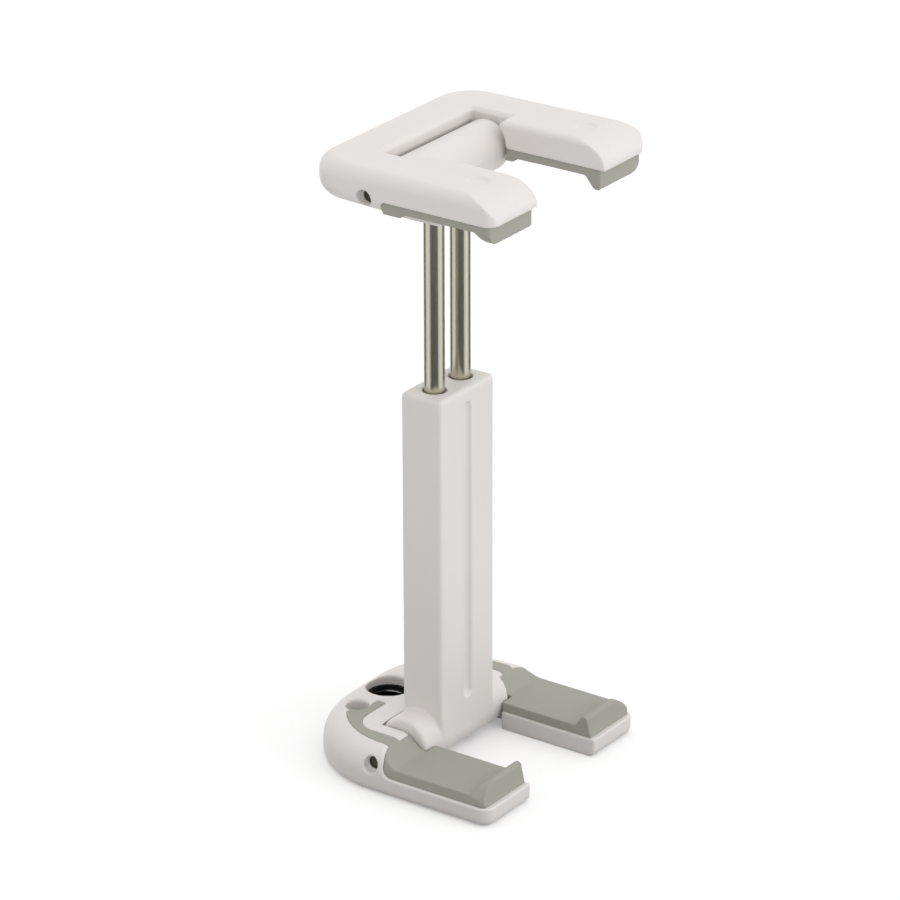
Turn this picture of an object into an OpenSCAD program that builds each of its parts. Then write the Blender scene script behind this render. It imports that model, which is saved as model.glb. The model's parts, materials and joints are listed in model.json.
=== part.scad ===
// Folding spring clamp that holds a phone on a tripod.
// Origin: centre of the tripod socket's mouth on the underside. +Z is up, +X is width,
// and both jaws point towards -Y. It stands fully drawn out, as wide as it opens.

/* [Opening and travel] */
// Free height between the lower and the upper grip pads, fully drawn out
phone_opening = 99; // [92:1:108]
// How far the rods slide back into the column
slide_travel = 30; // [18:1:32]
// Gap left under the head block when the clamp is closed
closed_gap = 0.57; // [0.4:0.01:1.2]

/* [Column] */
// Width of the column and of the head block's neck
column_w = 15.5; // [14:0.1:17]
// Depth of the column, which is also the thickness of the folded clamp
column_d = 8.1; // [7.4:0.1:8.8]
// Radius on the column's upright edges
column_edge = 0.7; // [0.3:0.1:1.2]
// Width of the long groove down the front
groove_w = 2.4; // [1:0.1:3]
// Depth of that groove
groove_depth = 0.45; // [0.2:0.05:0.8]
// Height of the groove's lower end above the ground
groove_foot = 10; // [8:0.5:20]
// Plain strip left above the groove
groove_head = 2.4; // [1.5:0.1:6]

/* [Rods and springs] */
// Outer diameter of the two steel tubes
rod_d = 3.5; // [3.1:0.1:3.9]
// Wall of those tubes
rod_wall = 0.3; // [0.2:0.05:0.4]
// Distance between the tubes' centres
rod_spacing = 7.4; // [6.4:0.1:8.2]
// Radial play of a tube in its guide at the column's top
rod_play = 0.08; // [0.03:0.01:0.1]
// Length of that guide
guide_len = 8; // [5:0.5:11]
// How far a tube is pressed into the head block
rod_seat = 4; // [3:0.1:4.4]
// Wall of the stop collar on a tube's lower end
collar_wall = 0.35; // [0.25:0.05:0.45]
// Height of that collar
collar_h = 4; // [2.5:0.5:6]
// Radial play of the collar in the column's bore
collar_play = 0.08; // [0.03:0.01:0.1]
// Wire of the extension springs
wire_d = 0.42; // [0.3:0.02:0.46]
// Turns on each spring
spring_turns = 48; // [30:1:52]

/* [Hinges] */
// Diameter of the hinge barrel on the column's foot
barrel_d = 9.4; // [9:0.1:9.8]
// Diameter of the hinge barrel on the head block
head_barrel_d = 8.7; // [8.5:0.1:9]
// How far the head block's barrel sits below its pin
head_drop = 0.9; // [0.6:0.1:1]
// How far it sits in front of its pin
head_ahead = 0.4; // [0.2:0.1:0.5]
// Height of the head block's neck below its barrel
neck_h = 3.1; // [2.9:0.05:6]
// Length of both barrels
barrel_len = 24.6; // [22:0.2:25.4]
// Radius on the barrels' ends
barrel_edge = 0.8; // [0.4:0.1:2]
// Diameter of the hinge pins
pin_d = 2.2; // [1.8:0.1:2.4]
// Radial play of a pin in its barrel
pin_play = 0.05; // [0.02:0.01:0.1]
// How far the pins' ends lie below the jaws' side faces
pin_recess = 1.6; // [0.8:0.1:2.4]
// Diameter of the holes through which the pins were driven
pin_hole_d = 2.8; // [2.5:0.1:3.2]
// Gap round a barrel in its pocket
pocket_gap = 0.25; // [0.2:0.05:0.4]
// Gap at each end of a barrel
pocket_end_gap = 0.3; // [0.3:0.05:0.6]

/* [Jaws] */
// Width over both arms, the same on both jaws
jaw_w = 44.2; // [42:0.2:48]
// Clear width between a jaw's arms
gap_w = 18.9; // [18:0.1:19.8]
// Radius on the gap's upper edges
gap_edge = 1; // [0.4:0.1:1.4]

/* [Lower jaw] */
// From the lower hinge axis forward to the tips
lower_reach = 23.95; // [21:0.05:27]
// From the lower hinge axis back to the rear edge
lower_back = 18.35; // [17.5:0.05:21]
// Corner radius of the round rear, seen from above
lower_corner = 18; // [15:0.5:20]
// Corner radius of the tips, seen from above
tip_corner = 2; // [1.9:0.1:3]
// Height of the thick rear part
rear_h = 7.5; // [7.2:0.1:8.2]
// Height of the arms' trays
tray_h = 3.3; // [2.8:0.1:3.6]
// Radius on the rear part's upper edge
rear_edge = 4.5; // [1.8:0.1:4.8]
// Radius on the lower edge all round
base_edge = 1.3; // [0.6:0.1:1.8]
// Length of the slope from the rear part down to the pads
slope_len = 5; // [4:0.1:6]

/* [Upper jaw] */
// From the upper hinge axis forward to the tips
upper_reach = 24.8; // [22:0.05:27]
// From the upper hinge axis back to the rear face
upper_back = 12.3; // [11.4:0.05:14]
// Corner radius of the rear, seen from above
upper_corner = 7.2; // [5:0.1:10]
// Top face above the hinge axis
upper_top = 4.65; // [4.5:0.05:5.4]
// Underside of the rear part, below the hinge axis
upper_drop = 2.05; // [1.6:0.05:2.6]
// Underside of the arms, above the hinge axis
arm_rise = 0.05; // [0:0.05:0.6]
// Radius on the arms' upper edges at the tips
upper_edge = 1.8; // [0.8:0.1:2.6]
// Radius on the rear bar's upper edge at its corners
bar_edge = 2.5; // [1:0.1:2.8]
// Radius on the rear part's lower edge at its corners
belly_edge = 3; // [0.6:0.1:3.2]
// Radius on the arms' lower edge at the tips
arm_edge = 0.6; // [0.4:0.1:1]
// Length of the rear part's rounded belly
belly_len = 9.4; // [4:0.1:9.6]
// Height of that belly
belly_h = 6; // [3:0.1:6.2]
// Front to back size of the window over the barrel
window_len = 7.4; // [6.4:0.1:7.8]
// From the hinge axis forward to the window's front edge
window_front = 4.25; // [3.8:0.05:4.6]
// Bevel round the window's upper edge
window_edge = 0.6; // [0.3:0.1:0.8]
// From the upper hinge axis forward to the rear of the arms' trays
heel_front = 3.1; // [2.9:0.1:3.6]
// From the middle out to the shallow round marks on the arms
mark_out = 15.3; // [14:0.1:17]
// From the tips back to those marks
mark_back = 7.4; // [7.2:0.1:9]
// Diameter of those marks
mark_d = 3.5; // [2:0.1:5]
// Depth of those marks
mark_depth = 0.2; // [0.1:0.05:0.4]

/* [Grip pads] */
// Thickness of a lower pad on its tray
lower_pad_t = 1.7; // [1.4:0.1:2.2]
// Thickness of an upper pad under its arm
upper_pad_t = 1.4; // [1.2:0.1:1.8]
// Height of a lower pad's lip above the pad
lower_lip_h = 1.9; // [0.8:0.1:2.2]
// Height of an upper pad's lip below the pad
upper_lip_h = 2.1; // [0.8:0.1:2.4]
// Length of a lip from its front face to the flat of the pad
lip_len = 3.4; // [2.6:0.1:5]
// Radius on an upper lip's outer end, seen from the front
lip_end_r = 3; // [1:0.1:3]
// Radius on a lower pad's outer side, as high as the rear part
shoulder_r = 4; // [3:0.1:4.2]
// Length of an upper pad's thick heel
heel_len = 3.6; // [3:0.1:4.5]
// Length of the ramp from that heel down to the pad's face
ramp_len = 1; // [0.6:0.1:2]
// How far a pad stays behind the tip of its arm
pad_front_inset = 0.9; // [0.5:0.1:1.5]
// How far a pad stays inside the arm's outer side
pad_side_inset = 0.5; // [0.3:0.1:1]
// How far a pad stays off the gap between the arms
pad_gap_inset = 0.3; // [0.2:0.1:0.6]
// Width of the grey runner let into the rear top
runner_inset = 4; // [3.8:0.1:5]
// Depth of that runner
runner_depth = 1; // [0.6:0.1:1.4]

/* [Tripod socket and cord hole] */
// From the lower hinge axis back to the tripod socket
hinge_to_socket = 11.85; // [11.4:0.05:12.6]
// Outer diameter of the threaded insert
insert_d = 7.8; // [7.2:0.1:8.4]
// Tapping bore of a quarter inch tripod thread
thread_bore_d = 5.2; // [4.9:0.1:5.6]
// How far the insert ends below the rear top
insert_recess = 1.7; // [1:0.1:3]
// Diameter of the hole for a wrist cord
cord_hole_d = 4; // [3:0.1:4.4]
// From the tripod socket across to that hole
cord_hole_out = 9; // [8.6:0.1:9.4]

/* [Hidden] */

white = [0.87, 0.85, 0.84];
grey = [0.61, 0.61, 0.57];
steel = [0.72, 0.71, 0.67];
dark_steel = [0.22, 0.22, 0.23];

round_fn = 96;
corner_fn = 40;
overcut = 1;
far = 80;

barrel_r = barrel_d / 2;
head_r = head_barrel_d / 2;
pin_r = pin_d / 2;
rod_r = rod_d / 2;
pocket_r = barrel_r + pocket_gap;
pocket_half = barrel_len / 2 + pocket_end_gap;
jaw_half = jaw_w / 2;
gap_half = gap_w / 2;

hinge_y = -hinge_to_socket;
low_axis_z = barrel_r;
lower_pad_top = tray_h + lower_pad_t;
upper_pad_z = arm_rise - upper_pad_t;
up_axis_z = lower_pad_top + phone_opening - upper_pad_z;

column_front = hinge_y - barrel_r;
column_y = column_front + column_d / 2;
head_z = up_axis_z - head_drop;
neck_len = head_r + neck_h;
neck_foot_z = head_z - neck_len;
column_top = neck_foot_z - closed_gap - slide_travel;

rod_x = rod_spacing / 2;
rod_top_z = neck_foot_z + rod_seat;
collar_r = rod_r + collar_wall;
column_bore_r = collar_r + collar_play;
guide_foot_z = column_top - guide_len;
collar_stop_gap = 0.15;
collar_top_z = guide_foot_z - collar_stop_gap;
rod_foot_z = collar_top_z - collar_h;

wire_r = wire_d / 2;
hook_play = 0.05;
hook_r = pin_r + hook_play + wire_r;
hook_room = 0.2;
coil_r = rod_r - rod_wall - wire_r - 0.15;
hook_room_r = rod_r - 0.04;
hook_room_top = up_axis_z + hook_r + wire_r + 0.25;

lower_tip_y = hinge_y - lower_reach;
lower_back_y = hinge_y + lower_back;
upper_tip_y = hinge_y - upper_reach;
upper_back_y = hinge_y + upper_back;
pin_half = jaw_half - pin_recess;

slope_top_y = hinge_y - 0.05;
slope_foot_y = slope_top_y - slope_len;
pad_heel_y = hinge_y - 2.5;
inner_heel_y = pad_heel_y + 1.15;
cheek_x = jaw_half - runner_inset + 0.4;
heel_r = min(2, lower_pad_t);
upper_heel_y = hinge_y - heel_front;
upper_heel_r = (upper_drop + arm_rise) / 2;
heel_step = 50;

// Points of an arc about a centre, from one angle to another
function arc(centre, r, from, to, steps) = [
    for (i = [0:steps])
        let (a = from + (to - from) * i / steps)
        [centre.x + r * cos(a), centre.y + r * sin(a)]
];

// Points of a soft slope between two points, level at both ends
function soft_slope(start, end, steps) = [
    for (i = [0:steps])
        let (t = i / steps, s = (1 - cos(180 * t)) / 2)
        [start.x + (end.x - start.x) * t, start.y + (end.y - start.y) * s]
];

// Rounded rectangle centred on the origin
module rounded_rect(w, d, r) {
    square([w - 2 * r, d], center = true);
    square([w, d - 2 * r], center = true);
    for (x = [-1, 1], y = [-1, 1])
        translate([x * (w / 2 - r), y * (d / 2 - r)]) circle(r = r, $fn = round_fn);
}

// Cylinder along X, centred on x = 0
module bar_x(r, len) {
    rotate([0, 90, 0]) cylinder(r = r, h = len, center = true, $fn = round_fn);
}

// Side view drawn as [y, z], made solid between two values of x
module side_solid(from_x, to_x) {
    translate([from_x, 0, 0])
        rotate([90, 0, 90]) linear_extrude(to_x - from_x) children();
}

// Narrow slots inside a barrel, in which the springs' hooks hold the pin
module hook_slots() {
    for (s = [-1, 1])
        translate([s * rod_x, 0, 0]) bar_x(hook_r + wire_r + hook_room, 2 * (wire_r + hook_room));
}

// Hinge barrel along X with rounded ends, on its own axis
module hinge_barrel(r) {
    half = barrel_len / 2;
    rotate([0, 90, 0]) rotate_extrude($fn = round_fn) {
        translate([0, -half]) square([r - barrel_edge, barrel_len]);
        translate([0, barrel_edge - half]) square([r, barrel_len - 2 * barrel_edge]);
        for (s = [-1, 1])
            translate([r - barrel_edge, s * (half - barrel_edge)])
                intersection() {
                    circle(r = barrel_edge, $fn = round_fn);
                    translate([-barrel_edge, -barrel_edge]) square(2 * barrel_edge);
                }
    }
}

// Convex slab over corner circles [x, y, r, lower edge radius, upper edge radius]
module rounded_slab(corners, low, high, steps) {
    hull() for (c = corners)
        translate([c.x, c.y, 0])
            rotate_extrude($fn = corner_fn)
                polygon([
                    for (p = concat(
                        [[0, low]],
                        arc([c[2] - c[3], low + c[3]], c[3], -90, 0, 3),
                        arc([c[2] - c[4], high - c[4]], c[4], 0, 90, steps),
                        [[0, high]]
                    )) [max(p.x, 0), p.y]
                ]);
}

// Both pin holes of a jaw: a press fit inside, and a wider mouth at each side face
module pin_holes() {
    bar_x(pin_r, jaw_w + overcut);
    for (s = [-1, 1])
        translate([s * (jaw_half - pin_recess + far / 2), 0, 0]) bar_x(pin_hole_d / 2, far);
}

// The space between a jaw's arms, with its upper edges eased over
module gap_cut(tip_y, axis_y, top_z) {
    centre_z = top_z - gap_edge;
    side = gap_half + gap_edge;
    translate([0, axis_y, 0]) rotate([90, 0, 0]) linear_extrude(axis_y - tip_y + overcut)
        polygon(concat(
            [[-gap_half, -overcut], [gap_half, -overcut]],
            arc([side, centre_z], gap_edge, 180, 90, 8),
            [[side, top_z + overcut], [-side, top_z + overcut]],
            arc([-side, centre_z], gap_edge, 90, 0, 8)
        ));
}

// Side view of a lip at a pad's front: front face, round crest and soft foot
function lip_profile(front_y, face_z, lip_h) =
    let (crest_r = 0.75, crest_z = face_z + lip_h)
    concat(
        arc([front_y + crest_r, crest_z - crest_r], crest_r, 180, 90, 8),
        soft_slope([front_y + crest_r + 0.3, crest_z], [front_y + lip_len, face_z], 10)
    );

// Rounds the upper edge of a pad's outer side, from its front back over a length
module side_round(front_y, length, outer_x, top_z, r) {
    translate([outer_x - r, front_y + length, top_z - r])
        rotate([90, 0, 0]) linear_extrude(length + overcut)
            difference() {
                square(r + overcut);
                circle(r = r, $fn = round_fn);
            }
}

// Plan corners of the lower jaw, drawn in by an inset
function lower_corners(inset) = [
    for (s = [-1, 1]) each [
        [
            s * (jaw_half - lower_corner), lower_back_y - lower_corner,
            lower_corner - inset, base_edge, rear_edge
        ],
        [
            s * (jaw_half - tip_corner), lower_tip_y + tip_corner,
            tip_corner - inset, base_edge, tip_corner
        ]
    ]
];

// Slope from the thick rear down to the pads, from its foot up to its top
slope_line = soft_slope([slope_foot_y, lower_pad_top], [slope_top_y, rear_h], 14);

// Outline of the grey runner on one side, from the pad back to the tripod socket
module runner_plan() {
    disc_y = lower_back_y - lower_corner;
    island_half = jaw_half - runner_inset - 2.8;
    island_back = -3.6;
    island_r = 4;
    end_x = insert_d / 2 + 1.8;
    difference() {
        intersection() {
            union() {
                translate([lower_corner - jaw_half, disc_y])
                    circle(r = lower_corner - runner_inset, $fn = round_fn);
                translate([runner_inset - jaw_half, pad_heel_y - overcut])
                    square([far, disc_y - pad_heel_y + overcut]);
            }
            union() {
                translate([-far - end_x, pad_heel_y - overcut])
                    square([far, -1.9 - pad_heel_y + overcut]);
                translate([-far - cord_hole_out, -2]) square([far, 2]);
            }
        }
        translate([0, island_back - far / 2])
            rounded_rect(2 * island_half, far, island_r);
        translate([-cord_hole_out, 0]) circle(d = cord_hole_d, $fn = round_fn);
    }
}

// Room for the barrel and for the column as it folds down between the arms
module lower_pocket() {
    translate([0, hinge_y, low_axis_z]) bar_x(pocket_r, 2 * pocket_half);
    translate([-pocket_half, hinge_y - pocket_r, -overcut])
        cube([2 * pocket_half, pocket_r, rear_h + 2 * overcut]);
}

// Side view of all that lies in front of a pad's rear end
module pad_heel(heel_y) {
    polygon(concat(
        [[lower_tip_y, tray_h], [lower_tip_y, rear_h + overcut], [heel_y, rear_h + overcut]],
        arc([heel_y - heel_r, tray_h + heel_r], heel_r, 0, -90, 8)
    ));
}

// One lower grip pad on the -X arm, with its slope and its runner
module lower_pad() {
    front_y = lower_tip_y + pad_front_inset;
    inner_x = -gap_half - pad_gap_inset;
    outer_x = pad_side_inset - jaw_half;
    difference() {
        union() {
            intersection() {
                side_solid(-jaw_half, inner_x)
                    polygon(concat(
                        [[front_y, tray_h]],
                        lip_profile(front_y, lower_pad_top, lower_lip_h),
                        slope_line,
                        [[slope_top_y, tray_h]]
                    ));
                union() {
                    side_solid(-jaw_half, -cheek_x) pad_heel(pad_heel_y);
                    side_solid(-cheek_x, inner_x) pad_heel(inner_heel_y);
                }
                linear_extrude(far) hull() for (c = lower_corners(pad_side_inset))
                    translate([c.x, c.y]) circle(r = c[2], $fn = corner_fn);
            }
            intersection() {
                linear_extrude(rear_h) runner_plan();
                side_solid(-jaw_half, 0)
                    polygon(concat(
                        slope_line,
                        [[lower_back_y, rear_h], [lower_back_y, rear_h - runner_depth]],
                        [for (i = [len(slope_line) - 1:-1:0]) slope_line[i] - [0, runner_depth]]
                    ));
            }
        }
        lower_pocket();
        mirror([1, 0, 0])
            side_round(front_y, pad_heel_y - front_y, -outer_x, rear_h, shoulder_r);
    }
}

module lower_left_pad() {
    color(grey) lower_pad();
}

module lower_right_pad() {
    color(grey) mirror([1, 0, 0]) lower_pad();
}

// Moulded lower jaw: round thick rear, thin trays in front, pocket for the barrel
module lower_jaw() {
    color(white) difference() {
        rounded_slab(lower_corners(0), 0, rear_h, 5);
        translate([0, -overcut, 0]) side_solid(-far, far) pad_heel(pad_heel_y + overcut);
        side_solid(-far, far)
            polygon(concat(
                slope_line,
                [[slope_top_y, rear_h + overcut], [slope_foot_y, rear_h + overcut]]
            ));
        lower_pocket();
        gap_cut(lower_tip_y, hinge_y, tray_h + far);
        translate([0, hinge_y, low_axis_z]) pin_holes();
        translate([0, 0, -overcut]) cylinder(d = insert_d, h = rear_h + 2 * overcut, $fn = round_fn);
        translate([-cord_hole_out, 0, -overcut])
            cylinder(d = cord_hole_d, h = rear_h + 2 * overcut, $fn = round_fn);
        lower_pad();
        mirror([1, 0, 0]) lower_pad();
    }
}

module tripod_insert() {
    color(dark_steel) difference() {
        cylinder(d = insert_d, h = rear_h - insert_recess, $fn = round_fn);
        translate([0, 0, -overcut])
            cylinder(d = thread_bore_d, h = rear_h + 2 * overcut, $fn = round_fn);
    }
}

module lower_hinge_pin() {
    color(steel) translate([0, hinge_y, low_axis_z]) bar_x(pin_r, 2 * pin_half);
}

// Moulded column: foot barrel, hollow post with two bores, and a guide for the tubes
module column() {
    color(white) difference() {
        union() {
            translate([0, hinge_y, low_axis_z]) hinge_barrel(barrel_r);
            translate([0, column_y, low_axis_z])
                linear_extrude(column_top - low_axis_z) rounded_rect(column_w, column_d, column_edge);
        }
        translate([0, hinge_y, low_axis_z]) {
            bar_x(pin_r + pin_play, barrel_len + overcut);
            hook_slots();
        }
        for (s = [-1, 1]) translate([s * rod_x, column_y, 0]) {
            translate([0, 0, -overcut])
                cylinder(r = column_bore_r, h = guide_foot_z + overcut, $fn = round_fn);
            translate([0, 0, guide_foot_z - overcut])
                cylinder(r = rod_r + rod_play, h = guide_len + 2 * overcut, $fn = round_fn);
        }
        groove_top = column_top - groove_head;
        translate([0, column_front + groove_depth, 0])
            rotate([90, 0, 0]) linear_extrude(groove_depth + overcut) {
                for (z = [groove_foot + groove_w / 2, groove_top - groove_w / 2])
                    translate([0, z]) circle(d = groove_w, $fn = round_fn);
                translate([-groove_w / 2, groove_foot + groove_w / 2])
                    square([groove_w, groove_top - groove_foot - groove_w]);
            }
    }
}

module rod(side) {
    color(steel) translate([side * rod_x, column_y, rod_foot_z]) difference() {
        cylinder(r = rod_r, h = rod_top_z - rod_foot_z, $fn = round_fn);
        translate([0, 0, -overcut])
            cylinder(r = rod_r - rod_wall, h = rod_top_z - rod_foot_z + 2 * overcut, $fn = round_fn);
    }
}

module left_rod() {
    rod(-1);
}

module right_rod() {
    rod(1);
}

// Ring pressed on a tube's lower end, which stops it at the guide
module rod_collar(side) {
    color(steel) translate([side * rod_x, column_y, rod_foot_z]) difference() {
        cylinder(r = collar_r, h = collar_h, $fn = round_fn);
        translate([0, 0, -overcut]) cylinder(r = rod_r, h = collar_h + 2 * overcut, $fn = round_fn);
    }
}

module left_rod_collar() {
    rod_collar(-1);
}

module right_rod_collar() {
    rod_collar(1);
}

// Centre line of an extension spring: hook round the lower pin, coils, hook round the upper pin
wire_sides = 4;
coil_steps = 8;
hook_steps = 9;
pin_rise = up_axis_z - low_axis_z;
coil_foot = hook_r + 1.1;
coil_len = pin_rise - 2 * coil_foot;
pin_to_rod_y = hinge_y - column_y;
spring_path = concat(
    [for (i = [0:hook_steps]) let (a = -150 + 240 * i / hook_steps)
        [0, pin_to_rod_y + hook_r * cos(a), hook_r * sin(a)]],
    [for (i = [0:spring_turns * coil_steps]) let (a = -90 + 360 * i / coil_steps)
        [coil_r * cos(a), coil_r * sin(a), coil_foot + coil_len * i / (spring_turns * coil_steps)]],
    [for (i = [0:hook_steps]) let (a = -90 + 240 * i / hook_steps)
        [0, pin_to_rod_y + hook_r * cos(a), pin_rise + hook_r * sin(a)]]
);

function unit(v) = v / norm(v);

// Tube swept along a list of points
module swept_wire(path, r, sides) {
    last = len(path) - 1;
    tangents = [for (i = [0:last]) unit(path[min(i + 1, last)] - path[max(i - 1, 0)])];
    points = [
        for (i = [0:last])
            let (
                t = tangents[i],
                across = unit(cross(t, [0.35, 0.2, 1] - t * (t * [0.35, 0.2, 1]))),
                up = cross(t, across)
            )
            for (k = [0:sides - 1])
                let (a = 360 * k / sides)
                path[i] + r * (cos(a) * across + sin(a) * up)
    ];
    faces = concat(
        [[for (k = [sides - 1:-1:0]) k]],
        [for (i = [0:last - 1], k = [0:sides - 1])
            let (n = (k + 1) % sides, low = i * sides, high = low + sides)
            each [[low + k, low + n, high + n], [low + k, high + n, high + k]]],
        [[for (k = [0:sides - 1]) last * sides + k]]
    );
    polyhedron(points, faces, convexity = 10);
}

module spring(side) {
    color(steel) translate([side * rod_x, column_y, low_axis_z])
        swept_wire(spring_path, wire_r, wire_sides);
}

module left_spring() {
    spring(-1);
}

module right_spring() {
    spring(1);
}

// Moulded head block: barrel for the upper jaw, and a neck that takes both tubes
module head_block() {
    color(white) difference() {
        union() {
            translate([0, hinge_y - head_ahead, head_z]) hinge_barrel(head_r);
            translate([0, column_y, neck_foot_z])
                linear_extrude(neck_len) rounded_rect(column_w, column_d, column_edge);
        }
        translate([0, hinge_y, up_axis_z]) {
            bar_x(pin_r + pin_play, barrel_len + overcut);
            hook_slots();
        }
        for (s = [-1, 1]) translate([s * rod_x, column_y, neck_foot_z]) {
            translate([0, 0, -overcut]) cylinder(r = rod_r, h = rod_seat + overcut, $fn = round_fn);
            cylinder(r = hook_room_r, h = hook_room_top - neck_foot_z, $fn = round_fn);
        }
    }
}

// Plan corners of the upper jaw, drawn in by an inset
function upper_corners(inset) = [
    for (s = [-1, 1]) each [
        [
            s * (jaw_half - upper_corner), upper_back_y - upper_corner,
            upper_corner - inset, belly_edge, bar_edge
        ],
        [
            s * (jaw_half - tip_corner), upper_tip_y + tip_corner,
            tip_corner - inset, arm_edge, upper_edge
        ]
    ]
];

// Room that the head block's barrel needs as the jaw folds round the pin
module head_room() {
    hull() for (a = [0:30:90])
        rotate([-a, 0, 0]) translate([0, -head_ahead, -head_drop])
            bar_x(head_r + pocket_gap, 2 * pocket_half);
}

// Flat box of two half sizes, from a height up
module flat_box(half_x, half_y, low) {
    translate([-half_x, -half_y, low]) cube([2 * half_x, 2 * half_y, overcut]);
}

// Room for the barrel and for the neck, open at the top as a window
module upper_pocket() {
    reach = head_r + head_drop + pocket_gap;
    head_room();
    translate([-pocket_half, -window_front, 0])
        cube([2 * pocket_half, window_len, upper_top + overcut]);
    translate([0, window_len / 2 - window_front, 0]) hull() {
        flat_box(pocket_half, window_len / 2, upper_top - window_edge - overcut);
        flat_box(pocket_half + window_edge, window_len / 2 + window_edge, upper_top);
    }
    translate([-pocket_half, -reach, -upper_drop - overcut])
        cube([2 * pocket_half, reach, upper_drop + overcut]);
}

// One upper grip pad under the -X arm, seen from its hinge axis
module upper_pad() {
    front_y = pad_front_inset - upper_reach;
    inner_x = -gap_half - pad_gap_inset;
    outer_x = pad_side_inset - jaw_half;
    heel_y = upper_heel_y - hinge_y;
    bend = [heel_y - upper_heel_r, upper_drop - upper_heel_r];
    mirror([0, 0, 1]) difference() {
        intersection() {
            side_solid(-jaw_half, inner_x)
                polygon(concat(
                    [[front_y, -arm_rise]],
                    lip_profile(front_y, -upper_pad_z, upper_lip_h),
                    soft_slope(
                        [heel_y - heel_len - ramp_len, -upper_pad_z],
                        [heel_y - heel_len, upper_drop], 8
                    ),
                    [[bend.x + upper_heel_r * cos(heel_step), upper_drop]],
                    arc(bend, upper_heel_r, heel_step, -90, 12)
                ));
            translate([0, -hinge_y, -far / 2])
                linear_extrude(far) hull() for (c = upper_corners(pad_side_inset))
                    translate([c.x, c.y]) circle(r = c[2], $fn = corner_fn);
        }
        mirror([1, 0, 0])
            side_round(front_y, lip_len, -outer_x, upper_lip_h - upper_pad_z, lip_end_r);
        mirror([0, 0, 1]) head_room();
    }
}

module upper_left_pad() {
    color(grey) translate([0, hinge_y, up_axis_z]) upper_pad();
}

module upper_right_pad() {
    color(grey) translate([0, hinge_y, up_axis_z]) mirror([1, 0, 0]) upper_pad();
}

// Moulded upper jaw: two arms on a thick rear bar with a rounded belly
module upper_jaw() {
    nose_y = 7;
    nose_z = 4;
    bend = [upper_heel_y - hinge_y - upper_heel_r, upper_heel_r - upper_drop];
    color(white) translate([0, hinge_y, up_axis_z]) difference() {
        intersection() {
            translate([0, -hinge_y, 0])
                rounded_slab(upper_corners(0), -upper_drop, upper_top, 4);
            side_solid(-far, far)
                polygon(concat(
                    [[-upper_reach - overcut, arm_rise], [-upper_reach - overcut, upper_top - nose_z]],
                    [for (a = [0:10:90]) [
                        -upper_reach + nose_y * (1 - cos(a)),
                        upper_top - nose_z * (1 - sin(a))
                    ]],
                    [[nose_y - upper_reach, upper_top + overcut]],
                    [[upper_back + overcut, upper_top + overcut]],
                    [[upper_back + overcut, belly_h - upper_drop]],
                    [for (a = [0:7.5:90]) [
                        upper_back - belly_len * (1 - cos(a)),
                        belly_h * (1 - sin(a)) - upper_drop
                    ]],
                    [[upper_back - belly_len, -upper_drop - overcut]],
                    [[bend.x + upper_heel_r * cos(heel_step), -upper_drop - overcut]],
                    arc(bend, upper_heel_r, -heel_step, 90, 12)
                ));
        }
        upper_pocket();
        gap_cut(-upper_reach, 0, upper_top);
        translate([0, 0, -upper_drop - overcut / 2])
            translate([-gap_half, -upper_reach, 0]) cube([gap_w, upper_reach, upper_drop]);
        pin_holes();
        for (s = [-1, 1])
            translate([s * mark_out, mark_back - upper_reach, upper_top - mark_depth])
                cylinder(d = mark_d, h = mark_depth + overcut, $fn = round_fn);
    }
}

module upper_hinge_pin() {
    color(steel) translate([0, hinge_y, up_axis_z]) bar_x(pin_r, 2 * pin_half);
}

lower_jaw();
lower_left_pad();
lower_right_pad();
tripod_insert();
lower_hinge_pin();
column();
left_rod();
right_rod();
left_rod_collar();
right_rod_collar();
left_spring();
right_spring();
head_block();
upper_jaw();
upper_left_pad();
upper_right_pad();
upper_hinge_pin();
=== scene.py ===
# %% [markdown]
# # A folding spring clamp that holds a phone on a tripod
# Two moulded jaws fold down from a slim moulded column, and two springs inside a pair of steel
# tubes pull the upper jaw down on the phone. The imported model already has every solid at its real
# size. This lesson makes the surface that the eye sees: soft moulded edges, rubber grips, drawn
# tube, a cut thread and the springs, each in the place that its solid holds.

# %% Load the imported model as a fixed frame
import json
import math

import bmesh
import bpy
from mathutils import Matrix, Vector


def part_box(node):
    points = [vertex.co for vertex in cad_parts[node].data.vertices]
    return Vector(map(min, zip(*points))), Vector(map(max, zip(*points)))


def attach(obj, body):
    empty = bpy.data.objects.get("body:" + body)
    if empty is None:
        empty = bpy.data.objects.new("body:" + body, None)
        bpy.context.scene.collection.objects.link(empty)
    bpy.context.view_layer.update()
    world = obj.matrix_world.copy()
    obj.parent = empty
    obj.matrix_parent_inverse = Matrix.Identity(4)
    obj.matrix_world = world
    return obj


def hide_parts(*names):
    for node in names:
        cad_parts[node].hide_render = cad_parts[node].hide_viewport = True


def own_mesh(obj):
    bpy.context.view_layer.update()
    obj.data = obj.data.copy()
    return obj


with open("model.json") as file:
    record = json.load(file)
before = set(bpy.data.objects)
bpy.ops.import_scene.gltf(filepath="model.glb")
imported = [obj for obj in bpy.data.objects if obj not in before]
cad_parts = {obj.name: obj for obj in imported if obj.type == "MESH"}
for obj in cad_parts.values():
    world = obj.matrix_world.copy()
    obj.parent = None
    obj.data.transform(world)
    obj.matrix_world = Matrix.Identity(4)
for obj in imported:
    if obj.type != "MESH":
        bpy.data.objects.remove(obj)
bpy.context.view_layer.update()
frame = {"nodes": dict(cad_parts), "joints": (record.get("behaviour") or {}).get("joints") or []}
print("Solids in the frame:", ", ".join(sorted(frame["nodes"])))

# %% [markdown]
# ## Work in millimetres
# A clamp of this size is measured in millimetres, and booleans and remeshing behave best on
# numbers near one. So every piece is built in millimetres and scaled to metres once, at its end.
# The large sizes are read from the solids' boxes and from the joints, so that the look follows
# the solids when they change.

# %% Sizes taken from the solids and the joints
MM = 0.001


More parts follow.
